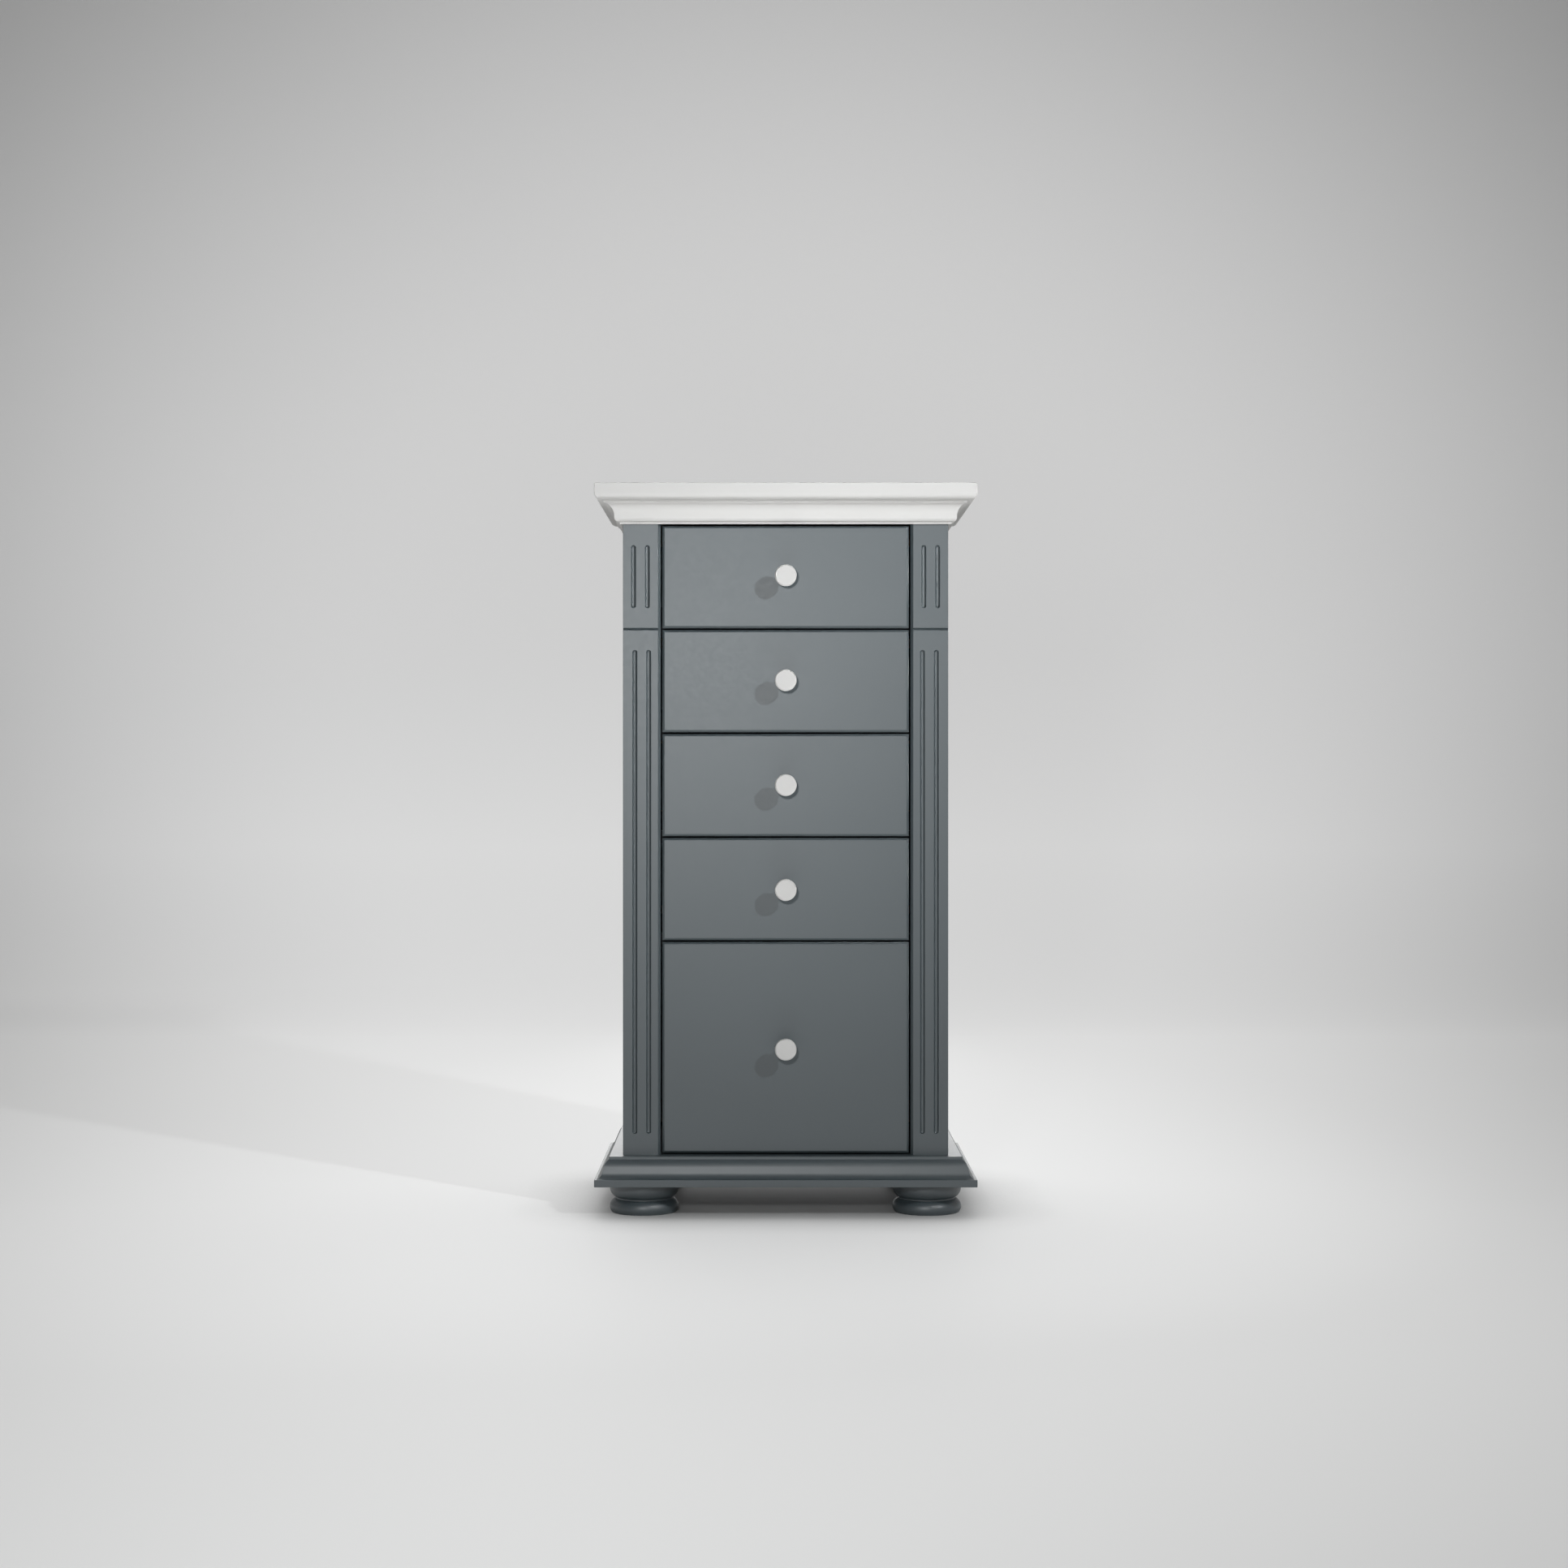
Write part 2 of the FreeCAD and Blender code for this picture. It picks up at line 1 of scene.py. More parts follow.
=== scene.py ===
# %% [markdown]
# # A tall chest of drawers in two paints
#
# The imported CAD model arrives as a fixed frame: every node at its real size and place, on a case and
# five sliding drawers. This lesson dresses that frame. Flat boards keep their CAD shape and get the
# eased edges of sanded wood, mouldings and turned pieces are modelled again more finely, and every
# surface gets the finish of its real material. Lengths are in metres, in the frame's own axes: +Z is
# up and the drawer fronts face -Y.

# %% Load the frame
import json
from math import pi, radians, sqrt

import bmesh
import bpy
from mathutils import Matrix, Vector

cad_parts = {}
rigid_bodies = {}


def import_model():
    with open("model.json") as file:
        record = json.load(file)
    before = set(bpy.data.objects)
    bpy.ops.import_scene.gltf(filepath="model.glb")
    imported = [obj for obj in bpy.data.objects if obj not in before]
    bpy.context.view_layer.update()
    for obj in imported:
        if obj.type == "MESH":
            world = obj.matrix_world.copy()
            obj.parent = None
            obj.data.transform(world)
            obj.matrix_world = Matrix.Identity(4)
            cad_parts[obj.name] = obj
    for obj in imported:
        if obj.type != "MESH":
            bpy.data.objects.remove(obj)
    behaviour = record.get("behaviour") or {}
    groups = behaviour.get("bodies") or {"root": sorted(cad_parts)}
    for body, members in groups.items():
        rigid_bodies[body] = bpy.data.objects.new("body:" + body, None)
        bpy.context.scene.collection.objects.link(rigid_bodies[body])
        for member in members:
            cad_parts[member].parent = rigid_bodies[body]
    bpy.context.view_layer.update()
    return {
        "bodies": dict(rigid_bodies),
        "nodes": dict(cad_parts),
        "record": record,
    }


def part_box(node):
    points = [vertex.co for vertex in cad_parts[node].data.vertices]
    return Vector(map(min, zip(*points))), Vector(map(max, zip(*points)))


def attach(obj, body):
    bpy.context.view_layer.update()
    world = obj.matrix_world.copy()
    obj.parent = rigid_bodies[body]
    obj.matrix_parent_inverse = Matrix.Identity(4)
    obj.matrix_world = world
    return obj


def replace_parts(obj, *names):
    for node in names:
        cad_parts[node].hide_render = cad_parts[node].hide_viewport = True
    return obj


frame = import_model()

mm = 0.001

# %% [markdown]
# ## The camera
#
# The chest is seen square from the front, from about half its height, through a long lens. Lines that
# run back from the front all meet at one pixel, and that pixel gives the camera's height and its place
# from side to side. The lens shift is only the few pixels by which that point misses the centre.

# %% Camera
photo_size = 1932                      # pixels, across and down
vanishing_px = (947.5, 972.0)          # where lines along Y meet
focal_px = 3185.0
camera_place = Vector((-0.0245, -3.974, 0.627))

lens = bpy.data.cameras.new("front_view")
lens.lens = lens.sensor_width * focal_px / photo_size
lens.shift_x = (photo_size / 2 - vanishing_px[0]) / photo_size
lens.shift_y = (vanishing_px[1] - photo_size / 2) / photo_size
camera = bpy.data.objects.new("front_view", lens)
camera.location = camera_place
camera.rotation_euler = (radians(90), 0, 0)
bpy.context.scene.collection.objects.link(camera)
bpy.context.scene.camera = camera
print(f"lens {lens.lens:.2f} mm, shift {lens.shift_x:.4f}, {lens.shift_y:.4f}")

# %% [markdown]
# ## Colours and nodes
#
# Colours are written as sRGB hex, the way a paint chip is measured, and shaders work in linear light,
# so one function converts them. A second small function adds a shader node with its settings and
# fills its inputs, either with a value or with another node's output.

# %% Helpers for materials
def linear(colour):
    """An sRGB hex colour such as "#4a5356" as linear RGBA."""
    channels = [int(colour[i:i + 2], 16) / 255 for i in (1, 3, 5)]
    return [c / 12.92 if c <= 0.04045 else ((c + 0.055) / 1.055) ** 2.4 for c in channels] + [1.0]


def add(tree, kind, inputs=None, **settings):
    """Adds a node. An input takes a value, or the output socket of another node."""
    made = tree.nodes.new(kind)
    for name, value in settings.items():
        setattr(made, name, value)
    for key, value in (inputs or {}).items():
        if isinstance(value, bpy.types.NodeSocket):
            tree.links.new(value, made.inputs[key])
        else:
            made.inputs[key].default_value = value
    return made


def new_material(name):
    """An empty material: its node tree, its Principled shader and the Object coordinates."""
    material = bpy.data.materials.new(name)
    material.use_nodes = True
    tree = material.node_tree
    shader = tree.nodes["Principled BSDF"]
    place = add(tree, "ShaderNodeTexCoord").outputs["Object"]
    return material, tree, shader, place


print("sRGB #808080 in linear light:", round(linear("#808080")[0], 3))

# %% [markdown]
# ## The studio
#
# The chest stands on a plain pale sweep: a floor that curves up into a wall, so that no corner shows
# behind it. A wall and a floor could be two planes, but the curve hides their seam from every side.
# The sweep is drawn as an outline from the side, with the curve spun, and then pulled out sideways. It
# is kept as two sheets: the floor, and the curve with the wall, which is thin enough to let the light of
# the room through to the back and the sides of the chest.

# %% Sweep
sweep_front = -12.0
sweep_curve_start = 2.6
sweep_curve_radius = 1.8
sweep_curve_steps = 32
sweep_height = 5.0
sweep_width = 24.0


def only_verts(geometry):
    """The vertices among what an operator gave back."""
    return [v for v in geometry if isinstance(v, bmesh.types.BMVert)]


bm = bmesh.new()
front = bm.verts.new((-sweep_width / 2, sweep_front, 0))
floor_run = bmesh.ops.extrude_vert_indiv(bm, verts=[front])["verts"]
bmesh.ops.translate(bm, verts=floor_run, vec=(0, sweep_curve_start - sweep_front, 0))
curve = bmesh.ops.spin(bm, geom=floor_run, angle=pi / 2, steps=sweep_curve_steps, axis=(1, 0, 0),
                       cent=(-sweep_width / 2, sweep_curve_start, sweep_curve_radius))
wall_run = bmesh.ops.extrude_vert_indiv(bm, verts=only_verts(curve["geom_last"]))["verts"]
bmesh.ops.translate(bm, verts=wall_run, vec=(0, 0, sweep_height - sweep_curve_radius))
pulled = bmesh.ops.extrude_edge_only(bm, edges=bm.edges[:])["geom"]
bmesh.ops.translate(bm, verts=only_verts(pulled), vec=(sweep_width, 0, 0))
bmesh.ops.recalc_face_normals(bm, faces=bm.faces[:])
sheets = []
for name, behind in (("studio_floor", False), ("studio_wall", True)):
    part = bm.copy()
    others = [f for f in part.faces if (f.calc_center_median().y > sweep_curve_start) != behind]
    bmesh.ops.delete(part, geom=others, context="FACES")
    mesh = bpy.data.meshes.new(name)
    part.to_mesh(mesh)
    part.free()
    mesh.shade_smooth()
    sheets.append(bpy.data.objects.new(name, mesh))
    bpy.context.scene.collection.objects.link(sheets[-1])
    sheets[-1].visible_diffuse = sheets[-1].visible_shadow = not behind
bm.free()
print("sweep faces:", [len(sheet.data.polygons) for sheet in sheets])

# %% [markdown]
# The paper is plain matt card. A studio lights its paper apart from the subject. More lamps would do
# that too, but they would bleach the chest, so the card gives off a little light of its own, which fades
# out over a few metres as a pool of light does. The fade follows the distance from the middle of the
# pool, with the floor squeezed first, because the pool is narrower there than on the wall.

# %% Pool of light on the paper
pool_middle = (0, 0, 0.75)
pool_inner = 1.3
pool_outer = 4.45
pool_edge = 0.25                       # what is left of it further out
pool_squeeze = 1.5                     # how much sooner it fades towards the front
pool_narrow = 2.3                      # how much narrower it is under the chest than on the wall

paper, tree, shader, place = new_material("studio_paper")
shader.inputs["Base Color"].default_value = linear("#b8b8b7")
shader.inputs["Roughness"].default_value = 0.8
spot = add(tree, "ShaderNodeSeparateXYZ", {"Vector": place})
in_front = add(tree, "ShaderNodeMath", {0: spot.outputs["Y"], 1: 0.0}, operation="MINIMUM")
squeezed = add(tree, "ShaderNodeMath", {0: in_front.outputs[0], 1: pool_squeeze}, operation="MULTIPLY")
narrower = add(tree, "ShaderNodeMapRange", {"Value": spot.outputs["Y"], "From Min": 0.0,
                                            "From Max": sweep_curve_start + sweep_curve_radius,
                                            "To Min": pool_narrow, "To Max": 1.0})
sideways = add(tree, "ShaderNodeMath", {0: spot.outputs["X"], 1: narrower.outputs["Result"]},
               operation="MULTIPLY")
seen_from = add(tree, "ShaderNodeCombineXYZ", {"X": sideways.outputs[0], "Y": squeezed.outputs[0],
                                               "Z": spot.outputs["Z"]})
away = add(tree, "ShaderNodeVectorMath", {0: seen_from.outputs[0], 1: pool_middle}, operation="DISTANCE")
fade = add(tree, "ShaderNodeMapRange", {"Value": away.outputs["Value"], "From Min": pool_inner,
                                        "From Max": pool_outer, "To Min": 1.0, "To Max": pool_edge},
           interpolation_type="SMOOTHSTEP")
print("pool of light fades from", pool_inner, "to", pool_outer, "m")

# %% [markdown]
# Only the camera and mirror-like surfaces see that light, so it shows in the sheen of the paint and
# doesn't brighten its colour. It is a little stronger on the wall than on the floor. Ambient occlusion
# takes it away close to the chest, so that the shadows on the floor stay as they fall.

# %% Glow of the paper
floor_glow = 0.41
wall_glow = 0.52
glow_rise = sweep_curve_radius / 4     # height at which the wall's glow is reached
shade_reach = 0.15
shade_power = 2.0
shade_samples = 8

glow = add(tree, "ShaderNodeMapRange", {"Value": spot.outputs["Z"], "From Max": glow_rise,
                                        "To Min": floor_glow, "To Max": wall_glow})
ray = add(tree, "ShaderNodeLightPath")
sharp_ray = add(tree, "ShaderNodeMath", {0: ray.outputs["Is Camera Ray"], 1: ray.outputs["Is Glossy Ray"]},
                operation="MAXIMUM")
clear_ray = add(tree, "ShaderNodeMath", {0: sharp_ray.outputs[0], 1: ray.outputs["Is Transmission Ray"]},
                operation="MAXIMUM")
nearby = add(tree, "ShaderNodeAmbientOcclusion", {"Distance": shade_reach}, samples=shade_samples)
in_open = add(tree, "ShaderNodeMath", {0: nearby.outputs["AO"], 1: shade_power}, operation="POWER")
open_glow = add(tree, "ShaderNodeMath", {0: glow.outputs["Result"], 1: in_open.outputs[0]},
                operation="MULTIPLY")
pool = add(tree, "ShaderNodeMath", {0: fade.outputs["Result"], 1: open_glow.outputs[0]},
           operation="MULTIPLY")
strength = add(tree, "ShaderNodeMath", {0: pool.outputs[0], 1: clear_ray.outputs[0]}, operation="MULTIPLY")
light = add(tree, "ShaderNodeEmission", {"Strength": strength.outputs[0]})
both = add(tree, "ShaderNodeAddShader", {0: shader.outputs["BSDF"], 1: light.outputs["Emission"]})
tree.links.new(both.outputs[0], tree.nodes["Material Output"].inputs["Surface"])
for sheet in sheets:
    sheet.data.materials.append(paper)
print("paper on:", [sheet.name for sheet in sheets])

# %% [markdown]
# ## The light
#
# A few lamps in a pale room light the chest. The key is small and stands in front, a little to the left
# of the camera, and the satin paint mirrors it as a wide glow over the upper drawers. The side lamp is
# higher, to the right, and throws the round shadow beside each knob. A wide lamp high at the back lights
# the floor and the top, a reflector on the floor lifts the underside of the cornice, and a low lamp
# behind rakes the ledges of the plinth.

# %% Lamps
def soft_lamp(name, location, aim, across, power, colour, spread):
    """A round area lamp that faces a point, with a grid that narrows its spread in degrees."""
    light = bpy.data.lights.new(name, "AREA")
    light.shape = "DISK"
    light.size = across
    light.energy = power
    light.color = linear(colour)[:3]
    light.spread = radians(spread)
    lamp = bpy.data.objects.new(name, light)
    lamp.location = location
    lamp.visible_camera = False
    lamp.rotation_euler = (Vector(aim) - Vector(location)).to_track_quat("-Z", "Y").to_euler()
    bpy.context.scene.collection.objects.link(lamp)
    return lamp


case_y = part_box("drawer_3_front")[0].y
# each lamp: its place, what it faces, metres across, watts, colour, degrees of spread
soft_lamp("key_lamp", (-0.28, -2.76, 1.01), (-0.28, case_y, 1.01), 0.2, 17.3, "#fcfeff", 180)
soft_lamp("side_lamp", (1.8, -2.16, 1.95), (0, case_y, 1.05), 0.12, 6.6, "#fbfdff", 60)
soft_lamp("back_lamp", (-0.4, 2.6, 3.0), (0, case_y, 0.6), 2.0, 20, "#ffffff", 180)
reflector = soft_lamp("floor_reflector", (0, -0.8, 0.02), (0, -0.8, 1.0), 1.0, 4.2, "#ffffff", 100)
reflector.visible_glossy = False       # a matt card, which shows no image in the paint
soft_lamp("rim_lamp", (0, 3.0, 0.75), (0, 0, 0.3), 1.4, 1.2, "#ffffff", 40)

# %% [markdown]
# The room is the world. It is bright behind the chest and dim from its sides round to the camera. One
# even level would be simpler, but it would fill the grooves and bevels that face the camera.

# %% Room
front_level = 0.11
room_level = 1.20
dim_until = -0.05                      # how far a direction points backwards, from -1 to 1
bright_from = 0.5

world = bpy.data.worlds.new("pale_room")
world.use_nodes = True
bpy.context.scene.world = world
tree = world.node_tree
towards = add(tree, "ShaderNodeTexCoord").outputs["Generated"]
facing = add(tree, "ShaderNodeSeparateXYZ", {"Vector": towards})
level = add(tree, "ShaderNodeMapRange", {"Value": facing.outputs["Y"], "From Min": dim_until,
                                         "From Max": bright_from, "To Min": front_level,
                                         "To Max": room_level},
            interpolation_type="SMOOTHSTEP")
room = tree.nodes["Background"]
room.inputs["Color"].default_value = linear("#f4f4f4")
tree.links.new(level.outputs["Result"], room.inputs["Strength"])
bpy.context.scene.view_settings.view_transform = "Standard"
print("room light:", front_level, "in front,", room_level, "behind")

# %% [markdown]
# ## Satin paint
#
# The case is wood under a sprayed satin paint in slate grey, and the top and knobs wear a duller white,
# close to eggshell. Spray leaves a very fine orange peel, which the eye reads as a soft highlight, and
# a thick build that drifts a little in tone over a board. One function makes them all. The peel is
# about 1 mm across on a real board, too fine to show, so it is drawn a few times coarser. The slate
# paint mirrors the key strongly for so dark a colour, so its IOR is above that of a plain binder. The
# thin paint on the back is duller. The wood behind the gaps gets a near-black painted shade, which
# stands in for the shadow deep in the gaps and gives back so little that the gaps look deep.

# %% Paints
peel_size = 6 * mm
peel_depth = 0.2 * mm
peel_strength = 0.06
drift_size = 160 * mm
sheen_spread = 0.03                    # how far the roughness strays over the peel


def satin_paint(name, light, dark, roughness, ior):
    """Sprayed satin paint: two close tones that drift, a faint orange peel, an even sheen."""
    material, tree, shader, place = new_material(name)
    drift = add(tree, "ShaderNodeTexNoise", {"Vector": place, "Scale": 1 / drift_size, "Detail": 3.0})
    tone = add(tree, "ShaderNodeMix", {"Factor": drift.outputs["Fac"], "A": linear(dark),
                                       "B": linear(light)}, data_type="RGBA")
    peel = add(tree, "ShaderNodeTexNoise", {"Vector": place, "Scale": 1 / peel_size, "Detail": 2.0})
    bump = add(tree, "ShaderNodeBump", {"Height": peel.outputs["Fac"], "Strength": peel_strength,
                                        "Distance": peel_depth})
    sheen = add(tree, "ShaderNodeMapRange", {"Value": peel.outputs["Fac"],
                                             "To Min": roughness - sheen_spread,
                                             "To Max": roughness + sheen_spread})
    tree.links.new(tone.outputs["Result"], shader.inputs["Base Color"])
    tree.links.new(sheen.outputs["Result"], shader.inputs["Roughness"])
    tree.links.new(bump.outputs["Normal"], shader.inputs["Normal"])
    shader.inputs["IOR"].default_value = ior
    return material


slate_paint = satin_paint("slate_satin_paint", "#424c50", "#3e484c", 0.45, 1.9)
white_paint = satin_paint("white_eggshell_paint", "#d1d0ce", "#cccbc9", 0.78, 1.4)
back_paint = satin_paint("matt_grey_back_paint", "#5c6467", "#545c5f", 0.62, 1.5)
# near-black painted shade for the wood seen through the gaps, standing in for the shadow there
gap_shade_black = satin_paint("painted_gap_shade", "#141617", "#0e1011", 0.7, 1.5)
print("paints:", slate_paint.name, white_paint.name, back_paint.name, gap_shade_black.name)

# %% [markdown]
# ## Bare wood
#
# Inside, the drawer boxes are birch under a thin matt varnish and the runners are waxed beech. Planed
# wood shows two things: growth rings, a few millimetres apart and drawn out along the board, and pores,
# which are short dark dashes. Both are noise, squeezed across the grain and stretched along it, so one
# function makes any of these woods for either direction of the board. Real pores are about a tenth of a
# millimetre wide, too fine to show, so they are drawn wider.

# %% Planed wood
ring_stretch = 40                      # how many times longer than wide the figure is
ring_wander = 0.5
ring_range = (0.3, 0.72)               # part of the noise that goes from pale wood to deep
pore_width = 0.9 * mm
pore_length = 14 * mm
pore_depth = 0.1 * mm
pore_strength = 0.25
pore_range = (0.62, 0.78)              # part of the noise that goes from sound wood to pore
pore_shade = 0.35
pore_colour = "#6e4f33"


def planed_wood(name, pale, deep, along, ring_width, roughness):
    """Planed wood with its grain along one axis, 0 for X or 1 for Y."""
    material, tree, shader, place = new_material(name)
    ring_scale = [1 / ring_width] * 3
    ring_scale[along] = 1 / (ring_width * ring_stretch)
    pore_scale = [1 / pore_width] * 3
    pore_scale[along] = 1 / pore_length
    drawn_out = add(tree, "ShaderNodeMapping", {"Vector": place, "Scale": ring_scale})
    rings = add(tree, "ShaderNodeTexNoise", {"Vector": drawn_out.outputs[0], "Scale": 1.0, "Detail": 4.0,
                                             "Distortion": ring_wander})
    dashes = add(tree, "ShaderNodeMapping", {"Vector": place, "Scale": pore_scale})
    pores = add(tree, "ShaderNodeTexNoise", {"Vector": dashes.outputs[0], "Scale": 1.0, "Detail": 1.0})
    pits = add(tree, "ShaderNodeMapRange", {"Value": pores.outputs["Fac"], "From Min": pore_range[0],
                                            "From Max": pore_range[1]})
    figure = add(tree, "ShaderNodeMapRange", {"Value": rings.outputs["Fac"], "From Min": ring_range[0],
                                              "From Max": ring_range[1]})
    wood = add(tree, "ShaderNodeMix", {"Factor": figure.outputs["Result"], "A": linear(pale),
                                       "B": linear(deep)}, data_type="RGBA")
    dark = add(tree, "ShaderNodeMath", {0: pits.outputs["Result"], 1: pore_shade}, operation="MULTIPLY")
    pored = add(tree, "ShaderNodeMix", {"Factor": dark.outputs[0], "A": wood.outputs["Result"],
                                        "B": linear(pore_colour)}, data_type="RGBA")
    bump = add(tree, "ShaderNodeBump", {"Height": pits.outputs["Result"], "Strength": pore_strength,
                                        "Distance": pore_depth}, invert=True)
    tree.links.new(pored.outputs["Result"], shader.inputs["Base Color"])
    tree.links.new(bump.outputs["Normal"], shader.inputs["Normal"])
    shader.inputs["Roughness"].default_value = roughness
    return material, tree, shader, pored


print("wood: pores", pore_width, "by", pore_length, "m")

# %% [markdown]
# Birch is pale and quiet, and its varnish leaves it dull. Beech is redder, with closer rings, and wax
# gives it a low shine. Grain runs along a board, so each wood comes in two directions.

# %% Birch and beech
birch_tones = ("#dcc49b", "#c9a878")
birch_rings = 5 * mm
varnish_roughness = 0.5
beech_tones = ("#cfa57c", "#b98a60")
beech_rings = 4 * mm
wax_roughness = 0.42

birch_deep = planed_wood("birch_along_the_side", *birch_tones, 1, birch_rings, varnish_roughness)[0]
birch_wide = planed_wood("birch_across_the_drawer", *birch_tones, 0, birch_rings, varnish_roughness)[0]
beech = planed_wood("waxed_beech", *beech_tones, 1, beech_rings, wax_roughness)[0]
beech_wide = planed_wood("waxed_beech_across", *beech_tones, 0, beech_rings, wax_roughness)[0]
print("woods:", birch_deep.name, birch_wide.name, beech.name, beech_wide.name)

# %% [markdown]
# The drawer bottoms are birch plywood: veneers glued in alternate directions. Its faces look like broad
# birch and its edges show the veneers as stripes. A stripe has to follow the thickness of the board, so
# each plywood piece carries its own attribute, which runs from 0 on one face to 1 on the other.

# %% Plywood
veneers = 5
ply_attribute = "ply_depth"
ply_tones = ("#dcc7a0", "#ceb083")
ply_rings = 16 * mm
ply_roughness = 0.55
ply_end_grain = "#9c7a50"

birch_ply, tree, shader, face_colour = planed_wood("birch_plywood", *ply_tones, 0, ply_rings,
                                                   ply_roughness)
depth = add(tree, "ShaderNodeAttribute", attribute_name=ply_attribute)
layer = add(tree, "ShaderNodeMath", {0: depth.outputs["Fac"], 1: veneers}, operation="MULTIPLY")
turn = add(tree, "ShaderNodeMath", {0: layer.outputs[0], 1: 2.0}, operation="FLOORED_MODULO")
end_grain = add(tree, "ShaderNodeMath", {0: turn.outputs[0], 1: 1.0}, operation="GREATER_THAN")
striped = add(tree, "ShaderNodeMix", {"Factor": end_grain.outputs[0], "A": face_colour.outputs["Result"],
                                      "B": linear(ply_end_grain)}, data_type="RGBA")
tree.links.new(striped.outputs["Result"], shader.inputs["Base Color"])
print("plywood veneers:", veneers)

# %% [markdown]
# ## Zinc-plated steel
#
# The screws and bolts are steel with a thin bright zinc plate. It is a plain metal: its colour is all
# in the reflection, which the crystals of the zinc break up a little. They are far finer on a real
# screw, and are drawn coarse enough to show.

# %% Steel
zinc_grain = 1.2 * mm
zinc_roughness = (0.26, 0.42)

steel, tree, shader, place = new_material("zinc_plated_steel")
shader.inputs["Base Color"].default_value = linear("#c3c6c8")
shader.inputs["Metallic"].default_value = 1.0
crystals = add(tree, "ShaderNodeTexVoronoi", {"Vector": place, "Scale": 1 / zinc_grain})
dulled = add(tree, "ShaderNodeMapRange", {"Value": crystals.outputs["Distance"],
                                          "To Min": zinc_roughness[0], "To Max": zinc_roughness[1]})
tree.links.new(dulled.outputs["Result"], shader.inputs["Roughness"])
print("steel:", steel.name, "crystals", zinc_grain, "m")

# %% [markdown]
# ## Keeping a piece
#
# A finished piece rides on the body of the CAD node that it stands for, so the drawers carry their own
# pieces when they slide. Rounded edges put thin faces beside wide ones, and plain smooth shading would
# bend the light across a whole board. A Weighted Normal modifier lets the wide faces decide: boards stay
# flat and only their edges turn.

# %% Keep and dress
record = frame["record"]
body_of = {node: body for body, members in record["behaviour"]["bodies"].items() for node in members}
sharp_angle = radians(40)


def keep(name, bm, material, body):
    """Turns a bmesh into a finished piece that rides on a body."""
    mesh = bpy.data.meshes.new(name)
    bm.to_mesh(mesh)
    bm.free()
    if "custom_normal" in mesh.attributes:     # from the CAD mesh, and wrong once edges are rounded
        mesh.attributes.remove(mesh.attributes["custom_normal"])
    mesh.shade_smooth()
    mesh.set_sharp_from_angle(angle=sharp_angle)
    mesh.materials.append(material)
    piece = bpy.data.objects.new(name, mesh)
    bpy.context.scene.collection.objects.link(piece)
    piece.modifiers.new("flat_boards", "WEIGHTED_NORMAL").keep_sharp = True
    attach(piece, body)
    return piece


def dress(node, bm, material):
    """Keeps a piece that stands for one CAD node."""
    piece = keep(f"{node}_dressed", bm, material, body_of[node])
    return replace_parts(piece, node)


# %% [markdown]
# ## Drawing outlines
#
# Mouldings and turned work both start as an outline. It is drawn from a first corner, step by step: a
# straight run is an extruded vertex, and a round stretch is that vertex spun about the arc's centre, so
# no list of points is worked out by hand.

# %% Outline helpers
arc_steps = 12


def draw(bm, place, start, steps):
    """Draws an outline and returns its ends. A step is a corner, or (centre, end) of an arc."""
    first = here = bm.verts.new(place(*start))
    for step in steps:
        if isinstance(step[0], tuple):
            centre, end = (Vector(place(*point)) for point in step)
            arm = here.co - centre
            reach = end - centre
            arc = bmesh.ops.spin(bm, geom=[here], cent=centre, axis=arm.cross(reach).normalized(),
                                 angle=arm.angle(reach), steps=arc_steps)
            here = only_verts(arc["geom_last"])[0]
        else:
            here = bmesh.ops.extrude_vert_indiv(bm, verts=[here])["verts"][0]
            here.co = place(*step)
    return first, here


def tangent_radius(across, along):
    """Radius of an arc that leaves along one direction and lands across and along away."""
    return (across ** 2 + along ** 2) / (2 * across)


def tangent_centre(before, touch, end):
    """Centre of the arc that carries on a straight run, from before to touch, and lands at end."""
    run = Vector(touch) - Vector(before)
    aside = run.orthogonal().normalized()
    chord = Vector(end) - Vector(touch)
    return tuple(Vector(touch) + aside * chord.length_squared / (2 * chord.dot(aside)))


print("steps in an arc:", arc_steps)

# %% [markdown]
# ## The top board
#
# The top is a thick board with its lower edge rounded over at the front and sides, and its other edges
# only eased. A box and two bevels make it: the first takes the three lower edges, and the second finds
# every edge that is still sharp.

# %% Top board
top_edge_radius = 9.5 * mm
top_ease = 1.0 * mm
ease_steps = 3
square_edge = radians(60)              # the rounded edge turns less than this at each step

low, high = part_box("top_board")
middle = (low + high) / 2
bm = bmesh.new()
bmesh.ops.create_cube(bm, size=1, matrix=Matrix.Translation(middle)
                      @ Matrix.Diagonal((*(high - low), 1)))
under = [e for e in bm.edges if all(v.co.z < middle.z for v in e.verts)
         and not all(v.co.y > middle.y for v in e.verts)]
bmesh.ops.bevel(bm, geom=under, offset=top_edge_radius, offset_type="OFFSET", segments=arc_steps,
                profile=0.5, affect="EDGES", material=-1)
sharp = [e for e in bm.edges if e.calc_face_angle() > square_edge]
bmesh.ops.bevel(bm, geom=sharp, offset=top_ease, offset_type="OFFSET", segments=ease_steps, profile=0.5,
                affect="EDGES", material=-1)
dress("top_board", bm, white_paint)
print("top board rounded over at", top_edge_radius, "m")

# %% [markdown]
# ## Cornice and plinth
#
# Both mouldings are planed in long lengths and mitred round the case. The section is drawn once, its
# corners are softened as paint softens them, and it is pulled out along the front and each side. A
# plane cuts each mitre, at 45 degrees through the corner of the case.

# %% Moulding helpers
half_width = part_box("pilaster_right")[1].x
case_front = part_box("pilaster_right")[0].y
case_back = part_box("back_panel")[1].y
moulding_reach = 60 * mm
moulding_ease = 0.5 * mm
section_corner = radians(150)          # a wider angle is part of an arc


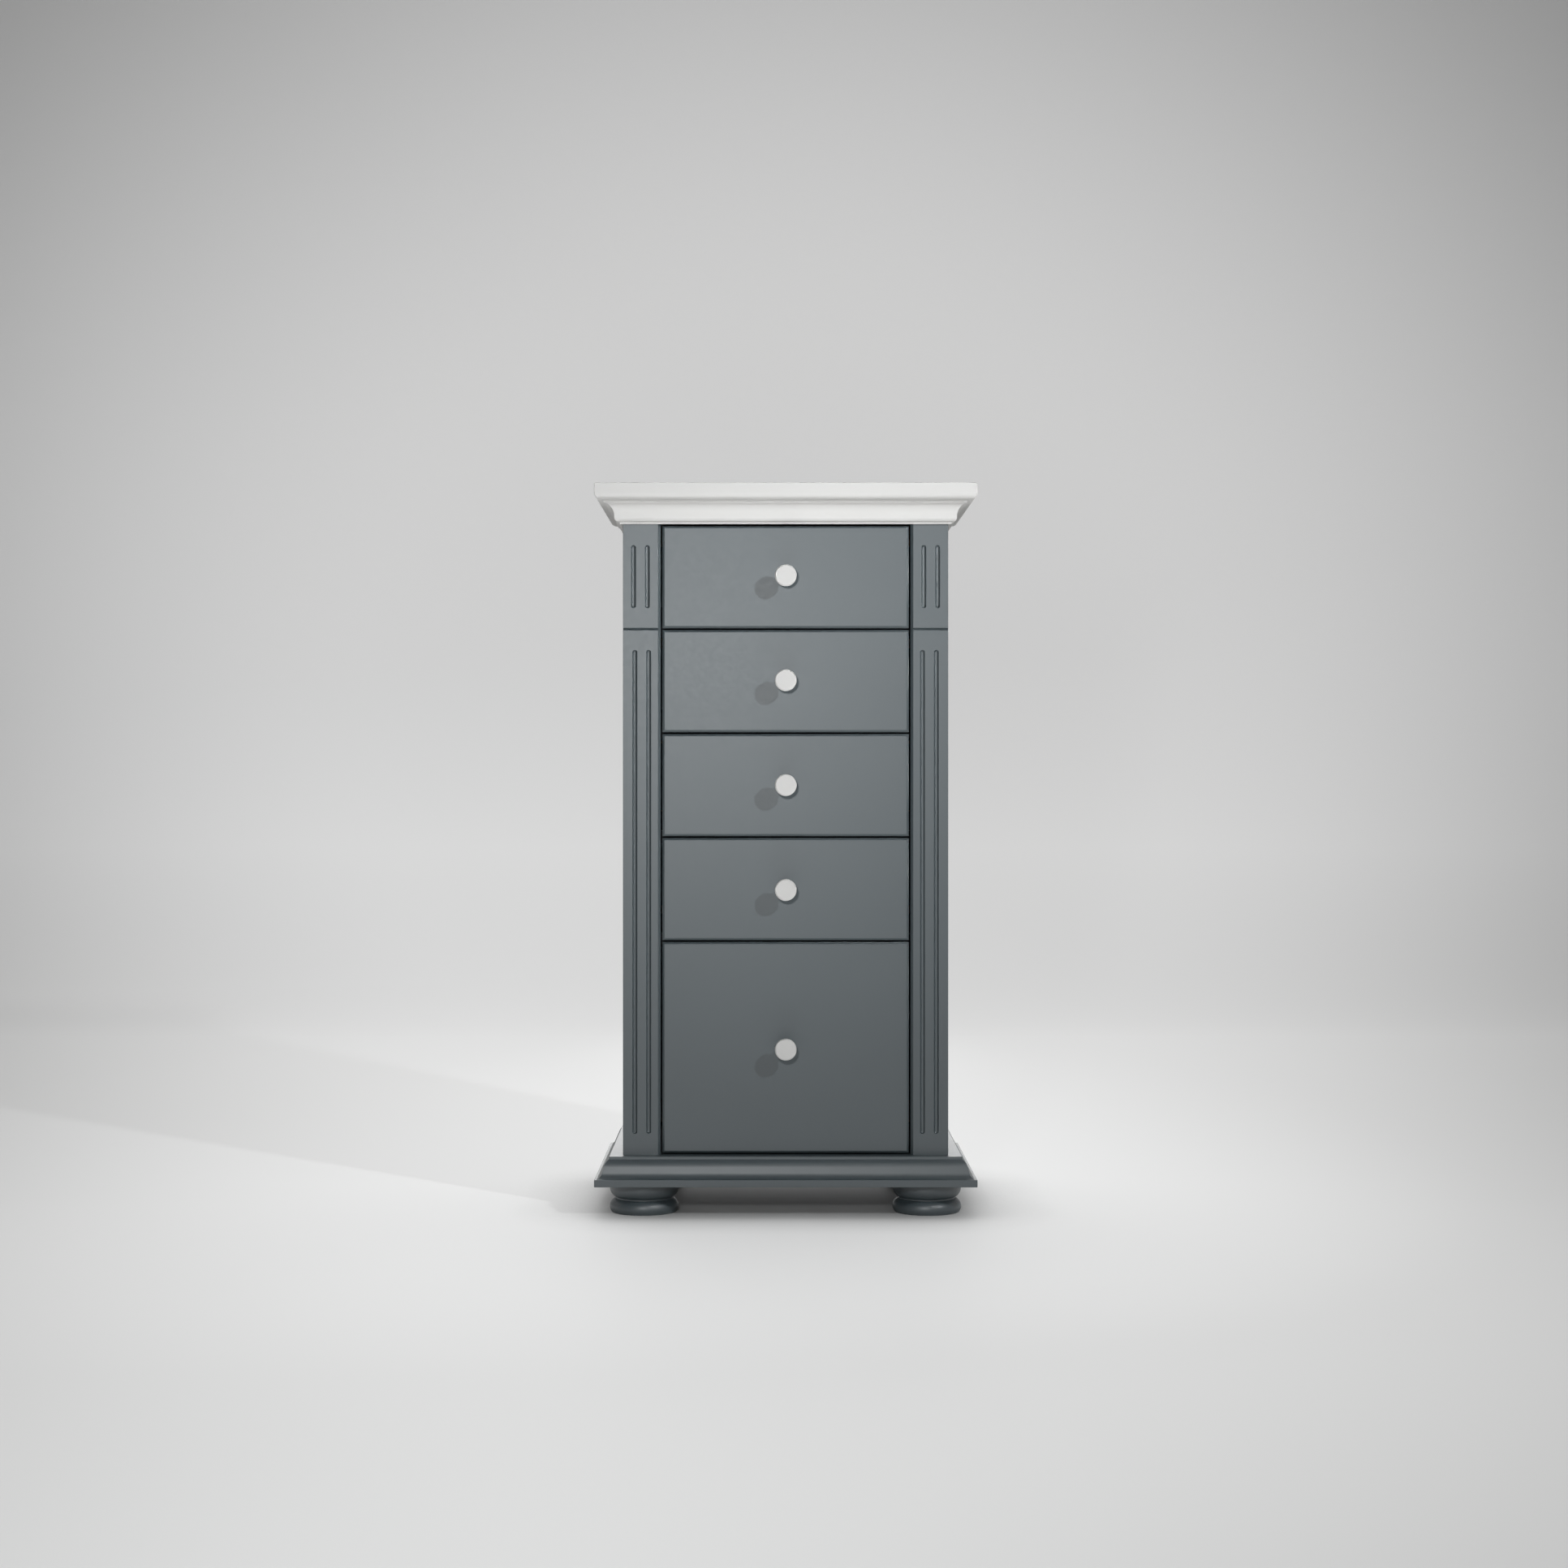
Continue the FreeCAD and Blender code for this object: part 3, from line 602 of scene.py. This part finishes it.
def pulled_section(place, start, steps, along):
    """A closed section, eased at its corners except against the case, pulled out along a vector."""
    bm = bmesh.new()
    ends = draw(bm, place, start, steps)
    bm.edges.new(ends)
    bmesh.ops.contextual_create(bm, geom=bm.edges[:])
    bm.faces.ensure_lookup_table()
    corners = [loop.vert for loop in bm.faces[0].loops
               if loop.calc_angle() < section_corner and loop.vert not in ends]
    bmesh.ops.bevel(bm, geom=corners, offset=moulding_ease, offset_type="OFFSET", segments=ease_steps,
                    profile=0.5, affect="VERTICES", material=-1)
    pulled = bmesh.ops.extrude_face_region(bm, geom=bm.faces[:])
    bmesh.ops.translate(bm, verts=only_verts(pulled["geom"]), vec=along)
    return bm


def cut_mitre(bm, side, keep_front):
    """Cuts a mitre through a front corner of the case, and keeps the front or the side of it."""
    out = Vector((side, 1, 0)) if keep_front else Vector((-side, -1, 0))
    cut = bmesh.ops.bisect_plane(bm, geom=bm.verts[:] + bm.edges[:] + bm.faces[:],
                                 plane_co=(side * half_width, case_front, 0), plane_no=out,
                                 clear_outer=True)
    bmesh.ops.contextual_create(bm, geom=[e for e in cut["geom_cut"] if isinstance(e, bmesh.types.BMEdge)])


def mitred_moulding(stem, start, steps, material):
    """Dresses the front, left and right lengths of a moulding, drawn in (overhang, height)."""
    end_x = half_width + moulding_reach
    start_y = case_front - moulding_reach
    bm = pulled_section(lambda out, z: (-end_x, case_front - out, z), start, steps,
                        (2 * end_x, 0, 0))
    for side in (-1, 1):
        cut_mitre(bm, side, True)
    bmesh.ops.recalc_face_normals(bm, faces=bm.faces[:])
    dress(f"{stem}_front", bm, material)
    for name, side in (("left", -1), ("right", 1)):
        bm = pulled_section(lambda out, z: (side * (half_width + out), start_y, z), start, steps,
                            (0, case_back - start_y, 0))
        cut_mitre(bm, side, False)
        bmesh.ops.recalc_face_normals(bm, faces=bm.faces[:])
        dress(f"{stem}_{name}", bm, material)
    low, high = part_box(f"{stem}_front")
    print(stem, "mitred, box", [round(c, 4) for c in high - low])


print("case: half width", round(half_width, 4), "front", round(case_front, 4), "back", round(case_back, 4))

# %% [markdown]
# ### Cornice
#
# From the case outwards the cornice has a small foot, a quirk (a narrow step), an ovolo (a quarter
# round), a plain band, a wide cove (a hollow) and a fillet under the top board. The cove leaves the band
# upright, so its centre is level with the point where it starts.

# %% Cornice
cornice_foot = 4.7 * mm
cornice_foot_height = 3.0 * mm
cornice_quirk = 1.5 * mm
cornice_ovolo = 6.0 * mm
cornice_cove = 13.0 * mm
cornice_cove_height = 18.0 * mm
cornice_quirk_top = 1.7 * mm
cornice_fillet_height = 3.3 * mm

base_z, top_z = (corner.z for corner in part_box("cornice_front"))
ovolo_in = cornice_foot + cornice_quirk
band = ovolo_in + cornice_ovolo
cove_out = band + cornice_cove
ovolo_z = base_z + cornice_foot_height
band_z = ovolo_z + cornice_ovolo
fillet_z = top_z - cornice_fillet_height
cove_z = fillet_z - cornice_cove_height
cove_radius = tangent_radius(cornice_cove, cornice_cove_height)
mitred_moulding("cornice", (0, base_z), [
    (cornice_foot, base_z), (cornice_foot, ovolo_z), (ovolo_in, ovolo_z),
    ((ovolo_in, band_z), (band, band_z)), (band, cove_z),
    ((band + cove_radius, cove_z), (cove_out, fillet_z)),
    (cove_out + cornice_quirk_top, fillet_z), (cove_out + cornice_quirk_top, top_z), (0, top_z)],
    white_paint)

# %% [markdown]
# ### Plinth
#
# The plinth stands out most at its foot: a flat base, a step, a cove, a band that leans back a little to
# catch the light, and an ovolo up to the ledge round the case. Cove and ovolo carry on the line of the
# band, so their centres are found from it and nothing kinks.

# %% Plinth
plinth_base_height = 10.7 * mm
plinth_base_step = 3.4 * mm
plinth_cove = 7.8 * mm
plinth_cove_height = 8.8 * mm
plinth_band_height = 7.0 * mm
plinth_batter = 1.6 * mm
plinth_ovolo = 7.8 * mm
plinth_fillet_height = 3.8 * mm

base_z, top_z = (corner.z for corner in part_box("plinth_front"))
overhang = case_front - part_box("plinth_front")[0].y
step_z = base_z + plinth_base_height
cove_end = (overhang - plinth_base_step, step_z)
band_low = (cove_end[0] - plinth_cove, step_z + plinth_cove_height)
band_high = (band_low[0] - plinth_batter, band_low[1] + plinth_band_height)
ledge = band_high[0] - plinth_ovolo
ovolo_end = (ledge, top_z - plinth_fillet_height)
mitred_moulding("plinth", (0, base_z), [
    (overhang, base_z), (overhang, step_z), cove_end,
    (tangent_centre(band_high, band_low, cove_end), band_low), band_high,
    (tangent_centre(band_low, band_high, ovolo_end), ovolo_end), (ledge, top_z), (0, top_z)],
    slate_paint)

# %% [markdown]
# ## Turned work
#
# Knobs and feet come off a lathe, so each is half an outline spun a full turn about its axis. The spin
# merges its last ring into its first. The points on the axis then lie on top of each other, so they
# are merged too, and the faces are turned outwards.

# %% Lathe
lathe_steps = 96
weld = 0.005 * mm                      # points closer than this are one


def turned(place, start, steps, centre, axis):
    """Spins an outline, drawn in (radius, distance along the axis), into a closed solid."""
    bm = bmesh.new()
    draw(bm, place, start, steps)
    bmesh.ops.spin(bm, geom=bm.verts[:] + bm.edges[:], cent=centre, axis=axis, angle=2 * pi,
                   steps=lathe_steps, use_merge=True)
    bmesh.ops.remove_doubles(bm, verts=bm.verts[:], dist=weld)
    bmesh.ops.recalc_face_normals(bm, faces=bm.faces[:])
    return bm


print("lathe steps:", lathe_steps)

# %% [markdown]
# ### Feet
#
# Each foot is a flattened bun, a thin neck ring and a bowl under the plinth, bored from above for its
# bolt. The lower bun bulges most a little above the floor, so its outline is two arcs about one centre.

# %% Feet
foot_neck_cut = 9.0 * mm
foot_bun_height = 20.0 * mm
foot_bun_widest = 8.0 * mm
foot_ring_height = 1.6 * mm
foot_rim_height = 9.0 * mm
foot_bore_radius = 4.1 * mm
foot_bore_depth = 26.1 * mm

for corner in ("front_left", "front_right", "rear_left", "rear_right"):
    low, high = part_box(f"foot_{corner}")
    middle = (low + high) / 2
    radius = (high.x - low.x) / 2
    neck = radius - foot_neck_cut
    neck_top = foot_bun_height + foot_ring_height
    rim_z = high.z - foot_rim_height
    bun_round = tangent_radius(foot_neck_cut, foot_bun_height - foot_bun_widest)
    bun = (radius - bun_round, foot_bun_widest)
    floor_radius = bun[0] + sqrt(bun_round ** 2 - foot_bun_widest ** 2)
    bowl = (radius - tangent_radius(foot_neck_cut, rim_z - neck_top), rim_z)
    steps = [(floor_radius, 0), (bun, (radius, foot_bun_widest)), (bun, (neck, foot_bun_height)),
             (neck, neck_top), (bowl, (radius, rim_z)), (radius, high.z), (foot_bore_radius, high.z),
             (foot_bore_radius, high.z - foot_bore_depth), (0, high.z - foot_bore_depth)]
    bm = turned(lambda r, z: (middle.x + r, middle.y, z), (0, 0), steps, middle, (0, 0, 1))
    dress(f"foot_{corner}", bm, slate_paint)
print("feet radius", round(radius, 4), "neck", round(neck, 4))

# %% [markdown]
# ### Knobs
#
# A knob has a small base on the drawer, a waisted neck that flares out, and a flat round head with a
# soft edge. It is turned about the line that runs out of the drawer.

# %% Knobs
knob_base_radius = 9.0 * mm
knob_base_height = 1.8 * mm
knob_neck_radius = 6.5 * mm
knob_neck_distance = 9.0 * mm
knob_head_thickness = 4.5 * mm
knob_back_step = 4.5 * mm
knob_back_depth = 2.0 * mm
knob_edge_round = 2.6 * mm
knob_bore_radius = 2.1 * mm
knob_bore_depth = 20.1 * mm
drawers = sorted(body for body in frame["bodies"] if body.startswith("drawer_"))

for drawer in drawers:
    low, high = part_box(f"{drawer}_knob")
    radius = (high.x - low.x) / 2
    reach = high.y - low.y
    centre = Vector(((low.x + high.x) / 2, high.y, (low.z + high.z) / 2))
    rim = reach - knob_head_thickness
    flare_end = (radius - knob_back_step, rim - knob_back_depth)
    waist = tangent_radius(knob_base_radius - knob_neck_radius, knob_neck_distance - knob_base_height)
    flare = tangent_radius(flare_end[0] - knob_neck_radius, flare_end[1] - knob_neck_distance)
    edge = (radius - knob_edge_round, reach - knob_edge_round)
    steps = [(knob_bore_radius, knob_bore_depth), (knob_bore_radius, 0), (knob_base_radius, 0),
             (knob_base_radius, knob_base_height),
             ((knob_neck_radius + waist, knob_neck_distance), (knob_neck_radius, knob_neck_distance)),
             ((knob_neck_radius + flare, knob_neck_distance), flare_end),
             (radius, rim), (radius, edge[1]), (edge, (edge[0], reach)), (0, reach)]
    bm = turned(lambda r, out: (centre.x + r, centre.y - out, centre.z), (0, knob_bore_depth), steps,
                centre, (0, 1, 0))
    dress(f"{drawer}_knob", bm, white_paint)
print("knobs on", drawers, "radius", round(radius, 4), "reach", round(reach, 4))

# %% [markdown]
# ## Boards
#
# Every other piece is a flat board whose CAD shape is right, down to its grooves and housings. Real
# boards are sanded, so their outer edges are never knife sharp. A CAD mesh is loose triangles, so its
# copy is merged, flat neighbours are dissolved into whole faces, and then the long convex edges are
# rounded. The corners inside grooves and housings stay crisp, because they are concave.

# %% Eased copies
flat_angle = radians(0.5)
board_ease_steps = 2


def eased_copy(node, ease, shortest):
    """A CAD node's mesh, merged, with its convex edges over a given length rounded."""
    bm = bmesh.new()
    bm.from_mesh(frame["nodes"][node].data)
    bmesh.ops.remove_doubles(bm, verts=bm.verts[:], dist=weld)
    bmesh.ops.dissolve_limit(bm, verts=bm.verts[:], edges=bm.edges[:], angle_limit=flat_angle)
    arrises = [e for e in bm.edges if len(e.link_faces) == 2 and e.is_convex
               and e.calc_face_angle() > sharp_angle and e.calc_length() > shortest]
    bmesh.ops.bevel(bm, geom=arrises, offset=ease, offset_type="OFFSET",
                    segments=board_ease_steps, profile=0.5, affect="EDGES", material=-1)
    return bm


print("edges sharper than", round(sharp_angle, 3), "rad are eased")

# %% [markdown]
# ### Painted boards and runners
#
# Boards that show are eased on their long edges only. The pilasters are eased all round, so that the
# rims of their flutes turn softly as well. Rails and runners show through the gaps between the fronts,
# and their fronts get a near-black painted shade, standing in for the shadow deep in the gaps: a plane
# cuts each board a little way behind its front, and the faces in front of the cut take the painted shade.

# %% Case boards
long_edge = 10 * mm                    # shorter edges keep their CAD shape
rim_edge = 0.2 * mm                    # the rim of a flute is a row of short edges
painted_ease = 0.5 * mm
fluted_ease = 0.4 * mm
waxed_ease = 0.8 * mm
# how far back from each board's front the painted shade of the gaps reaches
face_shade_depth = 1.0 * mm                  # on the rails, only the face behind the gap
end_shade_depth = 60 * mm                    # on the runners, as far back as the gap lets one see


def paint_gap_shade(node, bm, depth):
    """Gives the front of a board, which shows only through the gaps, its piece's second material: the
    painted shade of the gaps.
    """
    line_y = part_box(node)[0].y + depth
    bmesh.ops.bisect_plane(bm, geom=bm.verts[:] + bm.edges[:] + bm.faces[:], plane_co=(0, line_y, 0),
                           plane_no=(0, 1, 0))
    for face in bm.faces:
        face.material_index = int(face.calc_center_median().y < line_y)


for node in ("side_panel_left", "side_panel_right", "bottom_board"):
    dress(node, eased_copy(node, painted_ease, long_edge), slate_paint)
for node in ("pilaster_left", "pilaster_right"):
    dress(node, eased_copy(node, fluted_ease, rim_edge), slate_paint)
for node in ("divider_rails", "top_rail_front", "bottom_rail_front"):
    bm = eased_copy(node, painted_ease, long_edge)
    paint_gap_shade(node, bm, face_shade_depth)
    dress(node, bm, slate_paint).data.materials.append(gap_shade_black)
for node in ("runners_left", "runners_right"):
    bm = eased_copy(node, waxed_ease, long_edge)
    paint_gap_shade(node, bm, end_shade_depth)
    dress(node, bm, beech).data.materials.append(gap_shade_black)
dress("top_rail_rear", eased_copy("top_rail_rear", waxed_ease, long_edge), beech_wide)

# %% [markdown]
# ### Drawer boxes
#
# A painted front closes a plain birch box. The sides of the box are handled and slide on the runners,
# so their edges are the roundest.

# %% Drawer boxes
side_ease = 1.2 * mm
box_back_ease = 1.0 * mm

for drawer in drawers:
    dress(f"{drawer}_front", eased_copy(f"{drawer}_front", painted_ease, long_edge), slate_paint)
    for side in ("left", "right"):
        node = f"{drawer}_side_{side}"
        dress(node, eased_copy(node, side_ease, long_edge), birch_deep)
    dress(f"{drawer}_back", eased_copy(f"{drawer}_back", box_back_ease, long_edge), birch_wide)

# %% [markdown]
# ### Thin boards
#
# Each drawer bottom is a plywood board in grooves, and gets the attribute that its stripes follow: how
# far up each vertex lies between the lower face and the upper. The back panel is as thin, but it is
# painted, so it needs none.

# %% Thin boards
thin_ease = 0.4 * mm

for drawer in drawers:
    node = f"{drawer}_bottom"
    low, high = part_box(node)
    bm = eased_copy(node, thin_ease, long_edge)
    depth_layer = bm.verts.layers.float.new(ply_attribute)
    for v in bm.verts:
        v[depth_layer] = (v.co.z - low.z) / (high.z - low.z)
    dress(node, bm, birch_ply)
dress("back_panel", eased_copy("back_panel", thin_ease, long_edge), back_paint)
print("thin boards:", len(drawers) + 1)

# %% [markdown]
# ## Screws and bolts
#
# Screws and bolts sit in their bores, where only an end shows, and their CAD shape is right. They stay
# as CAD nodes and only their material changes.

# %% Screws and bolts
steel_nodes = ["runner_screws", "foot_bolts"] + [f"{drawer}_knob_screw" for drawer in drawers]
for node in steel_nodes:
    frame["nodes"][node].data.materials[0] = steel
print("steel nodes:", len(steel_nodes))
